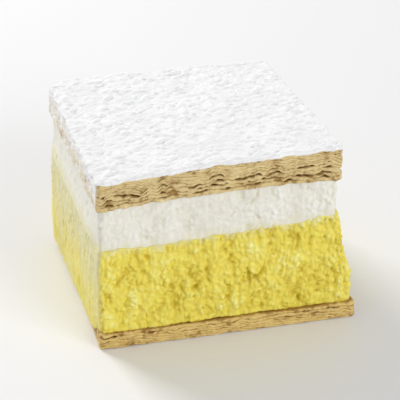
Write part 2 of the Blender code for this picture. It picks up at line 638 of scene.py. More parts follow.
@dataclass(frozen=True)
class Groups:
    """The node groups, built once and placed in each material that needs them."""

    grain: bpy.types.NodeTree
    tone_and_shade: bpy.types.NodeTree
    dusting: bpy.types.NodeTree

    @classmethod
    def build(cls) -> Groups:
        """Build every group."""
        return cls(grain_group(), tone_and_shade_group(), dusting_group())


@dataclass(frozen=True)
class Finish:
    """What every finish of the slice holds: three tones, a gloss range and a grain.

    Attributes:
        name: The material's name.
        deep: Colour of the hollows, painted shade there, and of darker random patches.
        body: Colour of most of the surface.
        peak: Colour of the crests, painted highlight there, and of lighter random patches.
        gloss: Lowest and highest roughness, mixed by a soft noise.
        unevenness: How far noise moves the tone.
        broad: Scale of the large patches, per metre.
        small: Scale of the small patches, per metre.
        grain: Scales of the coarse and the fine grain, per metre.
        bump: Depth of the grain in metres.
        soft: Subsurface weight.
    """

    name: str
    deep: Colour
    body: Colour
    peak: Colour
    gloss: Ends
    unevenness: float = 0.3
    broad: float = 90.0
    small: float = 600.0
    grain: tuple[float, float] = (900.0, 3200.0)
    bump: float = 0.06 * MM
    soft: float = 0.0

    def colour(self, sketch: NodeSketch, groups: Groups, place: Socket, toned: Socket) -> Socket:
        """What lies over the three tones: on a plain finish, nothing."""
        return toned

    def build(self, groups: Groups) -> bpy.types.Material:
        """Make the material: painted shade and highlight by crest, tones by noise, gloss by a soft noise, and
        a faint grain.

        Args:
            groups: The shared node groups.

        Returns:
            The material.
        """
        material = bpy.data.materials.new(self.name)
        material.use_nodes = True
        sketch = NodeSketch(material.node_tree)
        shader = material.node_tree.nodes["Principled BSDF"].inputs
        place = sketch.add("TexCoord").outputs["Object"]
        tone_and_shade = sketch.add(
            "Group", node_tree=groups.tone_and_shade, Place=place, Crest=sketch.attribute("crest"),
            Broad_Scale=self.broad, Small_Scale=self.small, Unevenness=self.unevenness, Deep=self.deep,
            Body=self.body, Peak=self.peak,
        )
        grain = sketch.add("Group", node_tree=groups.grain, Place=place, Coarse_Scale=self.grain[0],
                           Fine_Scale=self.grain[1])
        bump = sketch.add("Bump", Height=grain.outputs["Height"], Distance=self.bump, Strength=1.0)
        gloss = sketch.span(sketch.noise(place, GLOSS_SCALE, 2.0), GLOSS_ENDS, self.gloss)
        sketch.feed(shader["Base Color"], self.colour(sketch, groups, place, tone_and_shade.outputs["Colour"]))
        sketch.feed(shader["Roughness"], gloss)
        sketch.feed(shader["Normal"], bump.outputs["Normal"])
        shader["Subsurface Weight"].default_value = self.soft
        shader["Subsurface Scale"].default_value = LIGHT_DEPTH
        shader["Subsurface Radius"].default_value = LIGHT_SHARES
        return material


@dataclass(frozen=True)
class SmearAndGlareFinish(Finish):
    """A soft layer whose left cut carries a smear of its neighbour, drawn along by the knife; on the custard
    it covers the whole left cut and is also painted glare that washes the cut out pale.

    Attributes:
        smear_and_glare: Colour of the smear, and on the custard also of the painted glare.
    """

    soft: float = 0.15
    smear_and_glare: Colour = SUGAR_WHITE

    def colour(self, sketch: NodeSketch, groups: Groups, place: Socket, toned: Socket) -> Socket:
        """Lay the smear and painted glare over the tones where the drag_and_glare attribute is high."""
        return sketch.blend(sketch.attribute("drag_and_glare"), toned, self.smear_and_glare)


@dataclass(frozen=True)
class PastryFinish(Finish):
    """Baked leaves: thin dark lines along the leaves, painted shade of fine gaps between them, browner
    patches, and caught sugar.

    Attributes:
        brown: Colour of the well baked patches.
        squash: How the lines and patches are stretched along the leaves, as scales in x, y and z.
        line: Scale of the thin lines of painted shade, and how strong they are.
        bake: Scale of the browner patches, and how strong they are.
    """

    gloss: Ends = (0.55, 0.8)
    unevenness: float = 0.8
    broad: float = 180.0
    small: float = 800.0
    grain: tuple[float, float] = (800.0, 2600.0)
    bump: float = 0.22 * MM
    brown: Colour = SUGAR_WHITE
    squash: tuple[float, float, float] = (0.7, 0.7, 1.0)
    line: tuple[float, float] = (1900.0, 0.24)
    bake: tuple[float, float] = (480.0, 0.5)

    def colour(self, sketch: NodeSketch, groups: Groups, place: Socket, toned: Socket) -> Socket:
        """Add leaf lines of painted shade, then baked patches, then the sugar that the dust attribute calls
        for.

        Args:
            sketch: The material's tree.
            groups: The shared node groups.
            place: Where the surface is on the piece.
            toned: The colour below.

        Returns:
            The finished colour.
        """
        flat = sketch.add("Mapping", Vector=place, Scale=self.squash).outputs["Vector"]
        colour = toned
        # The lines are painted shade of fine gaps between leaves, in the darkest colour; the patches are real
        # browning.
        for (scale, strength), ends, over in ((self.line, (0.52, 0.75), self.deep),
                                              (self.bake, (0.55, 0.80), self.brown)):
            mask = sketch.span(sketch.noise(flat, scale, 3.0, 0.6), ends, (0.0, strength))
            colour = sketch.blend(mask, colour, over)
        dusted = sketch.add("Group", node_tree=groups.dusting, Place=place, Amount=sketch.attribute("dust"),
                            Under=colour, Sugar=SUGAR_WHITE)
        return dusted.outputs["Colour"]


# Darkest colour of each finish: painted shade in its hollows; lightest: painted highlight on its crests.
LID_FINISH = PastryFinish(
    "lid_pastry", deep=linear(156, 120, 60), body=linear(222, 198, 140), peak=linear(240, 222, 172),
    brown=linear(194, 152, 86),
)
BASE_FINISH = PastryFinish(
    "base_pastry", deep=linear(160, 118, 52), body=linear(226, 196, 120), peak=linear(240, 216, 148),
    brown=linear(200, 150, 80),
)
# The custard's pale grey smear colour is partly cream dragged down and partly painted glare.
CUSTARD_FINISH = SmearAndGlareFinish(
    "custard", deep=linear(208, 182, 34), body=linear(240, 223, 88), peak=linear(250, 242, 146),
    gloss=(0.32, 0.55), unevenness=0.7, broad=120.0, small=500.0, grain=(700.0, 2200.0), bump=0.05 * MM,
    smear_and_glare=linear(220, 216, 182),
)
CREAM_FINISH = SmearAndGlareFinish(
    "whipped_cream", deep=linear(224, 220, 202), body=linear(237, 234, 222), peak=linear(246, 245, 238),
    gloss=(0.5, 0.7), unevenness=0.5, broad=150.0, small=700.0, grain=(800.0, 2600.0),
    smear_and_glare=linear(234, 228, 178),
)
SUGAR_FINISH = Finish(
    "icing_sugar", deep=linear(234, 234, 236), body=SUGAR_WHITE, peak=linear(250, 250, 250),
    gloss=(0.85, 1.0), unevenness=0.3, broad=200.0, small=900.0, grain=(1500.0, 5000.0), bump=0.07 * MM,
)


# ---- The soft layers: custard and whipped cream ----


# The torn pattern: how far it is bent, over what length, and the sizes of rough patches and crumb.
BEND = 1.6 * MM
BEND_SIZE = 3.5 * MM
ROUGH_PATCH = mm(6, 6, 9)
CRUMB_SIZE = 0.9 * MM

# The radius of a lump's dome and the width of a crack, in cells of the lumps.
DOME_RADIUS = 0.8
CRACK_WIDTH = 0.3

# Near its rims a soft layer is less torn, up to this height. Its edges wave over this length.
RIM_CALM = 1.6 * MM
EDGE_WAVE_SIZE = 6.5 * MM

# The drawn foot of the left cut begins this far behind the front cut, and its rags are this wide.
FOOT_START = 9 * MM
FOOT_RAGS = 3 * MM

# The smear, on the custard's left cut also painted glare: width of its tongues, size of its streaks and
# of the spots beside the joint, how far from the joint the spots go, and the size of its uneven end
# round the upright edges.
SMEAR_WIDTH = 6 * MM
SMEAR_STREAK = mm(1.3, 1.3, 9)
SMEAR_SPOT = 2.4 * MM
SPOT_REACH = 3 * MM
WRAP_SIZE = mm(2, 2, 4)


@dataclass(frozen=True)
class Tear:
    """How a soft layer tears where the knife went through, as depths and sizes in metres.

    Attributes:
        streak: Depth of the streaks that the knife drew downwards.
        streak_size: Width across and length down of a streak.
        lump: Height of the rounded lumps.
        lump_size: Width and height of a lump.
        crevice: Depth of the cracks between lumps.
        pit: Depth of the burst bubbles.
        pit_size: Spacing of the bubbles.
        fine: Height of the smallest crumb.
        swell: Height and width of the broad bulges, on which the rest lies.
        seed: Chooses the pattern.
    """

    streak: float
    streak_size: tuple[float, float]
    lump: float
    lump_size: tuple[float, float]
    crevice: float
    pit: float
    pit_size: float
    fine: float
    swell: tuple[float, float]
    seed: int

    def relief(self, points: np.ndarray) -> np.ndarray:
        """Height of the torn surface above its smooth wall.

        Streaks are gradient noise stretched downwards. Lumps are domes over scattered seeds, and
        cracks run where two seeds are equally near. Pits are round holes round the seeds whose
        random number is high. A broad noise chooses rough and calm patches, and another swells
        the whole.

        Args:
            points: Places on the smooth wall, shaped (..., 3).

        Returns:
            Heights in metres, shaped (...).
        """
        bend = np.stack([fractal_noise(points, BEND_SIZE, self.seed + shift, 2) for shift in (1, 2, 3)], -1)
        bent = points + BEND * bend
        across, down = self.streak_size
        streaks = fractal_noise(bent, (across, across, down), self.seed + 4, 3)
        wide, tall = self.lump_size
        near, second, chosen = cell_noise(bent, (wide, wide, tall), self.seed + 5)
        domes = (1.0 - smooth(near / DOME_RADIUS)) * (0.3 + 0.7 * chosen) - 0.3
        rough = 0.5 + 0.5 * smooth(0.6 + 1.8 * fractal_noise(points, ROUGH_PATCH, self.seed + 7, 2))
        cracks = -(1.0 - smooth((second - near) / CRACK_WIDTH))
        gap, _, picked = cell_noise(bent, (self.pit_size, self.pit_size, 1.3 * self.pit_size), self.seed + 8)
        radius = 0.18 + 0.35 * np.clip(picked - 0.5, 0.0, 1.0)
        pits = -(1.0 - smooth(gap / (1.5 * radius))) * smooth((picked - 0.45) / 0.1)
        crumb = fractal_noise(points, CRUMB_SIZE, self.seed + 9, 2)
        torn = self.streak * streaks + self.lump * domes + self.crevice * cracks + self.pit * pits
        height, width = self.swell
        swells = height * fractal_noise(bent, (width, width, 1.5 * width), self.seed + 11, 2)
        return rough * torn + self.fine * crumb + swells


def close_skin(
    points: np.ndarray, low_pole: np.ndarray, high_pole: np.ndarray
) -> tuple[np.ndarray, np.ndarray, np.ndarray]:
    """Join rows of points that run round the slice, and close both ends with a fan to a pole.

    Args:
        points: Places, shaped (rows, columns, 3), each row anticlockwise, from the lowest row out and up.
        low_pole: The middle of the first row's fan.
        high_pole: The middle of the last row's fan.

    Returns:
        Points shaped (n, 3) with the two poles at the end, quads and triangles.
    """
    rows, columns = points.shape[:2]
    flat = np.concatenate([points.reshape(-1, 3), [low_pole, high_pole]])
    column = np.arange(columns)
    following = (column + 1) % columns
    last = (rows - 1) * columns
    low_fan = np.stack([np.full(columns, rows * columns), following, column], -1)
    high_fan = np.stack([last + column, last + following, np.full(columns, rows * columns + 1)], -1)
    return flat, grid_quads(rows, columns, wrap_columns=True), np.concatenate([low_fan, high_fan])


@dataclass
class SoftLayer:
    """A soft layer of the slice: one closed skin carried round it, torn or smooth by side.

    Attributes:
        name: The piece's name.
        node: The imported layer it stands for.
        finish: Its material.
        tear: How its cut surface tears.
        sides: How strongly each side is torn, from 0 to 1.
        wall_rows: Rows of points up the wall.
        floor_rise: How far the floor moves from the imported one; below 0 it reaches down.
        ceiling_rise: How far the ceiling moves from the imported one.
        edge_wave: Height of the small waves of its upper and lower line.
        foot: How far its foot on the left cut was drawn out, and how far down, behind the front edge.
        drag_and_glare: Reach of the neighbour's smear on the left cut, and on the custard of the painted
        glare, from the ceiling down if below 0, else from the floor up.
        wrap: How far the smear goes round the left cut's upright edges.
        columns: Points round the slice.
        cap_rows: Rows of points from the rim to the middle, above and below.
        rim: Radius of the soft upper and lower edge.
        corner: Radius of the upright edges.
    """

    name: str
    node: str
    finish: Finish
    tear: Tear
    sides: dict[Side, float]
    wall_rows: int
    floor_rise: float
    ceiling_rise: float
    edge_wave: float
    foot: tuple[float, float]
    drag_and_glare: float
    wrap: float
    columns: int = 820
    cap_rows: int = 7
    rim: float = 0.8 * MM
    corner: float = 1.6 * MM

    def rows(self, height: float) -> tuple[np.ndarray, np.ndarray, np.ndarray]:
        """Rows of the skin from the middle of the floor, out, up the wall, and in again.

        The rims are quarter circles, the wall is evenly divided, and the caps step towards the middle.

        Args:
            height: The layer's height in metres.

        Returns:
            For each row, its distance in from the wall, its further share of the way to the
            middle, and its share of the way up.
        """
        angle = np.linspace(0.0, math.pi / 2.0, 5)
        rim_in = self.rim * (1.0 - np.sin(angle))
        rim_up = self.rim * (1.0 - np.cos(angle)) / height
        wall = np.linspace(self.rim / height, 1.0 - self.rim / height, self.wall_rows)[1:-1]
        cap = np.linspace(0.0, 0.96, self.cap_rows + 1)[1:]
        none = np.zeros(len(cap))
        level = np.zeros(2 * len(angle) + len(wall))
        inset = np.concatenate([none + self.rim, rim_in, np.zeros(len(wall)), rim_in[::-1], none + self.rim])
        share = np.concatenate([cap[::-1], level, cap])
        up = np.concatenate([none, rim_up, wall, 1.0 - rim_up[::-1], none + 1.0])
        return inset, share, up

    def shape(self, place: LayerPlace) -> tuple[np.ndarray, dict[str, np.ndarray]]:
        """Work out the skin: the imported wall, moved out by the tear and up or down along its edges.

        Args:
            place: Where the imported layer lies.

        Returns:
            Rows of points round the layer, and the crest and the drag of each.
        """
        spots, ways = outline(self.columns, place, self.corner)
        inset, share, up = self.rows(place.height)
        wall = place.wall(spots, up[:, None], inset[:, None], share[:, None])
        torn = sum(side_weight(ways, side) * weight for side, weight in self.sides.items())
        near_rim = np.minimum(up, 1.0 - up) * place.height
        shown = (1.0 - smooth(share / 0.05)) * (0.35 + 0.65 * smooth(near_rim / RIM_CALM))
        relief = self.tear.relief(wall) * torn * shown[:, None]
        points = wall.copy()
        points[..., :2] += ways * relief[..., None]
        self.move_edges(points, wall, ways, torn, up[:, None])
        # Crest follows the tear's relief: painted shade in its hollows, painted highlight on its lumps.
        crest = np.clip(0.55 + 0.8 * relief / (self.tear.streak + self.tear.lump), 0.0, 1.0)
        away = (1.0 - up if self.drag_and_glare < 0 else up)[:, None] * place.height
        return points, {"crest": crest, "drag_and_glare": self.smear_and_glare(wall, ways, away)}

    def move_edges(self, points: np.ndarray, wall: np.ndarray, ways: np.ndarray, torn: np.ndarray,
                   up: np.ndarray) -> None:
        """Wave the upper and lower line, and draw the left cut's foot out and down.

        The wave is a noise round the slice, faded in over the lowest and the highest fifth.

        Args:
            points: The skin, which is moved.
            wall: The same points before the tear.
            ways: Outward direction of each column.
            torn: How torn each column is.
            up: Share of the way up of each row.
        """
        seed = self.tear.seed
        line = fractal_noise(wall * FLAT, EDGE_WAVE_SIZE, seed + 20, 3) * (0.35 + 0.65 * torn)
        low, high = smooth(1.0 - up / 0.2), smooth((up - 0.8) / 0.2)
        points[..., 2] += low * (self.floor_rise + min(self.edge_wave, abs(self.floor_rise)) * line)
        points[..., 2] += high * (self.ceiling_rise + self.edge_wave * line)
        behind = smooth((wall[..., 1] - wall[..., 1].min()) / FOOT_START - 0.2) * side_weight(ways, Side.LEFT)
        ragged = 0.85 + 0.3 * fractal_noise(wall * FLAT, FOOT_RAGS, seed + 24, 2)
        points[..., :2] += ways * (self.foot[0] * behind * smooth(1.0 - up / 0.45))[..., None]
        points[..., 2] -= self.foot[1] * behind * ragged * low

    def build(self, place: LayerPlace, groups: Groups) -> bpy.types.Object:
        """Build the layer as one closed piece and dress it.

        Args:
            place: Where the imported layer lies.
            groups: The shared node groups.

        Returns:
            The finished piece.
        """
        points, values = self.shape(place)
        poles = place.at(np.full(2, 0.5), np.full(2, 0.5), np.array([0.0, 1.0]))
        poles[:, 2] = points[0, :, 2].mean(), points[-1, :, 2].mean()
        flat, quads, fans = close_skin(points, *poles)
        attributes = {label: np.append(given.ravel(), (0.5, 0.5)) for label, given in values.items()}
        return make_piece(self.name, self.finish.build(groups), flat, quads, fans, attributes)

    def smear_and_glare(self, points: np.ndarray, ways: np.ndarray, away: np.ndarray) -> np.ndarray:
        """How thickly the neighbour was dragged over each point, and on the custard's left cut how
        thick the painted glare is.

        The reach of the smear on the left cut is a noise across it. Its thickness fades from the
        joint to that reach, in streaks that run down the cut. Elsewhere only spots next to the
        joint are smeared. The custard's reach spans its whole left cut, so there the pale smear is partly
        cream and partly painted glare.

        Args:
            points: Places on the smooth wall.
            ways: Outward direction of each column.
            away: Distance of each row from the joint with the neighbour.

        Returns:
            Shares from 0 to 1, shaped as the points.
        """
        seed = self.tear.seed
        reach = abs(self.drag_and_glare) * (0.8 + 0.5 * gradient_noise(points * FLAT, SMEAR_WIDTH, seed + 30))
        streaks = fractal_noise(points, SMEAR_STREAK, seed + 31, 3)
        cover = smooth(1.0 - away / np.maximum(reach, MM)) * np.clip(0.75 + 0.6 * streaks, 0.0, 1.0)
        spots = smooth(0.5 + 1.5 * fractal_noise(points, SMEAR_SPOT, seed + 33, 3))
        spots = spots * smooth(1.0 - away / SPOT_REACH)
        past = points[..., 0] - points[..., 0].min()
        wrap = self.wrap * (0.8 + fractal_noise(points, WRAP_SIZE, seed + 35, 2))
        left = np.maximum(side_weight(ways, Side.LEFT), 0.7 * smooth(1.0 - past / np.maximum(wrap, 0.5 * MM)))
        return cover * left + 0.6 * spots * (1.0 - left)


# ---- Puff pastry ----


# A leaf in section, from its inner end out along its underside, round its edge and back along its
# top: how far in from the wall, as shares of its reach, and how far up, as shares of its thickness.
SECTION_IN = np.array([1.0, 0.30, 0.08, 0.02, 0.0, 0.02, 0.08, 0.30, 1.0])[:, None]
SECTION_UP = np.array([0.06, 0.03, 0.04, 0.20, 0.50, 0.80, 0.96, 0.97, 0.94])[:, None]
OUTER = np.clip(1.0 - SECTION_IN / 0.3, 0.0, 1.0)

# How far apart two leaves lie in the patterns of thickness and of tone, so that each has its own.
LEAF_SHIFT = mm(0, 0, 2.6)
TONE_SHIFT = mm(0, 0, 5)

# Sizes of the patterns along a cut: thicker stretches, slots, notches, bends, partings between
# leaves, waves that all leaves share, flakes, and patches of tone.
THICKER = mm(3.4, 3.4, 2.5)
SLOT = mm(3.2, 3.2, 2.2)
NOTCH = mm(2.4, 2.4, 2)
LEAF_BEND = mm(4, 4, 2)
PARTING = mm(2.2, 2.2, 2)
SHARED_WAVE = 7 * MM
FLAKE_WIDTH = 2.6 * MM
TONE_PATCH = mm(5, 5, 2)

# A leaf is never thinner than this share of the usual, nothing hangs lower than the clearance
# above the ground, and the top leaf stands back under what lies on it.
THINNEST = 0.3
CLEARANCE = 0.12 * MM
TOP_STEP = 0.3 * MM

# The core: its columns, the radius of its upright edges, how far its foot stands back from the
# wall, and its top as a share of the height.
CORE_COLUMNS = 240
CORE_CORNER = 1.0 * MM
CORE_FOOT = 1.0 * MM
CORE_TOP = 0.97


@dataclass
class PastryStack:
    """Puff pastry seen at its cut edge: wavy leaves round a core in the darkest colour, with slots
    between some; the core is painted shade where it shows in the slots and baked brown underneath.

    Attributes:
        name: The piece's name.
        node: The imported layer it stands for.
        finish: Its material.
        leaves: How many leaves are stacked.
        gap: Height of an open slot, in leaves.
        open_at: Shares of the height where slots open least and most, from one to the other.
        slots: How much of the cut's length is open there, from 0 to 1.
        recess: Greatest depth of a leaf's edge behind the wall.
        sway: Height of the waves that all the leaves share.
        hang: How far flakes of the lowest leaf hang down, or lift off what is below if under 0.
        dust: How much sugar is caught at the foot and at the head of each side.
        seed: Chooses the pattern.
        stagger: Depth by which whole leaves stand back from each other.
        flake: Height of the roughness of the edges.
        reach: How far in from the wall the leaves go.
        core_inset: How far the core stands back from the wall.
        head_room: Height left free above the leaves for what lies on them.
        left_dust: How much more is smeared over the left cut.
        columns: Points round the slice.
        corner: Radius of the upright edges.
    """

    name: str
    node: str
    finish: Finish
    leaves: int
    gap: float
    open_at: tuple[float, float]
    slots: float
    recess: float
    sway: float
    hang: float
    dust: tuple[float, float]
    seed: int
    stagger: float = 0.15 * MM
    flake: float = 0.26 * MM
    reach: float = 3.6 * MM
    core_inset: float = 1.9 * MM
    head_room: float = 0.0
    left_dust: float = 0.0
    columns: int = 900
    corner: float = 1.4 * MM

    def levels(
        self, around: np.ndarray, calm: np.ndarray
    ) -> tuple[np.ndarray, np.ndarray, np.ndarray, np.ndarray]:
        """Share of the height at which each leaf starts and ends, all the way round.

        A leaf's thickness and the slot above it are noises along the cut. Their sum is scaled to
        fill the height, so that the leaves swell and thin as the slots beside them open and shut.

        Args:
            around: Places round the wall, shaped (columns, 3).
            calm: 1 where slots may open, less where the knife pressed the leaves together.

        Returns:
            Lower and upper share of each leaf, shaped (leaves, columns), how open the slot above
            it is, and how loose the leaf is.
        """
        spots = around * FLAT + np.arange(self.leaves)[:, None, None] * LEAF_SHIFT
        share = (np.arange(self.leaves)[:, None] + 0.5) / self.leaves
        ease = smooth((share - self.open_at[0]) / (self.open_at[1] - self.open_at[0]))
        field = fractal_noise(spots, SLOT, self.seed + 5, 2)
        opened = smooth((field - 0.42 + 0.5 * self.slots * ease * calm) / 0.22) * ease * calm
        opened[-1] = 0.0
        gaps = self.gap * opened
        thick = np.maximum(0.75 + 0.5 * ease + 1.2 * fractal_noise(spots, THICKER, self.seed, 2), THINNEST)
        total = (thick + gaps).sum(0)
        ends = np.cumsum(thick + gaps, 0)
        return (ends - thick - gaps) / total, (ends - gaps) / total, opened, ease

    def roughness(self, points: np.ndarray) -> np.ndarray:
        """Flaky roughness of every point: three noises, from crumbs to broad bends, added.

        Args:
            points: Places on the leaves.

        Returns:
            Values of about -1 to 1.
        """
        rough = fractal_noise(points, mm(1.0, 1.0, 0.8), self.seed + 14, 2)
        rough += 0.8 * fractal_noise(points, mm(2.4, 2.4, 1.6), self.seed + 16, 2)
        rough += 1.2 * fractal_noise(points, 5 * MM, self.seed + 17, 2)
        return rough

    def setback(self, tones: np.ndarray, loose: np.ndarray) -> np.ndarray:
        """How far each leaf's edge stands back: a step of its own and notches along it, more where loose.

        Args:
            tones: Places in the pattern of tones, shaped (leaves, columns, 3).
            loose: How loose each leaf is, from 0 to 1.

        Returns:
            Distances, shaped (leaves, columns).
        """
        leaf = np.arange(self.leaves)[:, None, None]
        stagger = lattice_random(np.concatenate([leaf, 0 * leaf, 0 * leaf], -1), self.seed + 8)
        notch = smooth(fractal_noise(tones, NOTCH, self.seed + 9, 3) * 1.4 + 0.3)
        return (self.stagger * stagger + self.recess * notch) * (0.3 + 0.7 * loose)

    def edges(self, place: LayerPlace) -> tuple[np.ndarray, dict[str, np.ndarray]]:
        """Points of all the leaves, each a flat loop in section carried round the slice.

        Where leaves are parted, the loop narrows towards its edge, which leaves a groove between them.
        Every leaf is lifted by the shared waves, which are 0 at the floor and at the top. Roughness
        moves the outer part of the loop, and flakes of the lowest leaf hang or lift.

        Args:
            place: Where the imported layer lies.

        Returns:
            Points shaped (leaves, section, columns, 3) and the attributes of each.
        """
        spots, ways = outline(self.columns, place, self.corner)
        around = place.wall(spots, np.full(1, 0.5), np.zeros(1))
        left = side_weight(ways, Side.LEFT)
        calm = 1.0 - 0.75 * left * (self.left_dust > 0)
        low, high, opened, loose = self.levels(around, calm)
        tones = around * FLAT + np.arange(self.leaves)[:, None, None] * TONE_SHIFT
        back = self.setback(tones, loose) * calm
        back[-1] += TOP_STEP * (self.head_room > 0)
        parted = smooth(0.5 + 1.6 * fractal_noise(tones, PARTING, self.seed + 20, 2)) * calm
        inset = SECTION_IN * np.where(SECTION_IN < 0.2, parted[:, None], 1.0)
        inset = back[:, None] + inset * (self.reach - back[:, None])
        bend = 0.20 * gradient_noise(tones, LEAF_BEND, self.seed + 12) * opened
        up = low[:, None] + SECTION_UP * (high - low)[:, None]
        up = up + (1.0 - SECTION_IN) * bend[:, None] / self.leaves
        waves = fractal_noise(around * FLAT, SHARED_WAVE, self.seed + 22, 3)
        up += 4.0 * up * (1.0 - up) * self.sway / place.height * waves
        up *= 1.0 - self.head_room / place.height
        points = place.wall(spots, up, inset)
        rough = self.roughness(points)
        points[..., :2] += ways * (self.flake * rough * OUTER)[..., None]
        points[..., 2] += 0.5 * self.flake * rough * OUTER
        flakes = np.maximum(0.15 + fractal_noise(around * FLAT, FLAKE_WIDTH, self.seed + 24, 3), 0.0)
        points[0, ..., 2] -= self.hang * flakes * (1.0 - SECTION_UP) * OUTER
        points[..., 2] = np.maximum(points[..., 2], CLEARANCE)
        # Crest: random tone, plus painted highlight on raised roughness and painted shade in slots and
        # setbacks.
        tone = 0.5 + 0.35 * fractal_noise(tones, TONE_PATCH, self.seed + 18, 3)[:, None]
        crest = tone + 0.22 * rough - 1.5 * SECTION_IN - 0.2 * (back / (self.recess + self.stagger))[:, None]
        head = self.dust[0] + (self.dust[1] - self.dust[0]) * np.clip(up, 0.0, 1.0) ** 2
        dust = head + self.left_dust * left - (0.9 - 0.6 * left) * SECTION_IN
        return points, {"crest": np.clip(crest, 0.0, 1.0), "dust": np.clip(dust, 0.0, 1.0)}

    def core(self, place: LayerPlace) -> tuple[np.ndarray, np.ndarray, np.ndarray]:
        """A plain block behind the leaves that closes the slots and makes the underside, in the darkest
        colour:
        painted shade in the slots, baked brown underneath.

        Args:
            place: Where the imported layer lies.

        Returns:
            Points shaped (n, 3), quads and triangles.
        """
        spots, _ = outline(CORE_COLUMNS, place, CORE_CORNER)
        inset = np.repeat([CORE_FOOT, self.core_inset], 3)
        share = np.array([0.95, 0.5, 0.0, 0.0, 0.0, 0.95])
        head = CORE_TOP * (1.0 - self.head_room / place.height)
        up = np.array([0.0, 0.0, 0.0, 0.06, head, head])
        rows = place.wall(spots, up[:, None], inset[:, None], share[:, None])
        return close_skin(rows, rows[0].mean(0), rows[-1].mean(0))

    def build(self, place: LayerPlace, groups: Groups) -> bpy.types.Object:
        """Join the leaves and the core into one piece and dress it.

        Args:
            place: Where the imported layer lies.
            groups: The shared node groups.

        Returns:
            The finished piece.
        """
        leaves, values = self.edges(place)
        count, section, columns = leaves.shape[:3]
        quads = grid_quads(section, columns, wrap_rows=True, wrap_columns=True)
        shift = np.arange(count)[:, None, None] * section * columns
        start = count * section * columns
        core, core_quads, core_fans = self.core(place)
        # The core's crest is 0: darkest colour, painted shade in the slots and baked brown underneath.
        attributes = {label: np.append(given.ravel(), np.zeros(len(core))) for label, given in values.items()}
        all_quads = np.concatenate([(quads + shift).reshape(-1, 4), core_quads + start])
        return make_piece(
            self.name, self.finish.build(groups), np.concatenate([leaves.reshape(-1, 3), core]), all_quads,
            core_fans + start, attributes,
        )


# ---- Icing sugar ----


# The sheet of sugar: how its rows crowd towards its edge, as the share and the power of the second
# term, how far and over what length its pattern is bent, how long a ripple is for its width, and
# the depth that its hollows never pass.
CROWDING = 0.07
CROWDING_POWER = 9
SUGAR_BEND = 1.2 * MM
SUGAR_BEND_SIZE = 5 * MM
RIPPLE_LENGTH = 1.9
DEEPEST = 0.45 * MM

# Its edge: size of its rags, how far in they pull, size of the folds that hang down, and how far in
# and down the underside lies.
RAG_SIZE = 3.4 * MM
RAG_REACH = 4 * MM
FOLD_SIZE = 12 * MM
UNDER_SHARE = (0.985, 0.985, 1.0)
UNDER_DROP = (0.0, 0.0, 0.7 * MM)

# Height between the sugar's darkest hollow and brightest crest: its grey there is painted shade and its
# white painted highlight.
CREST_SPAN = 1.2 * MM


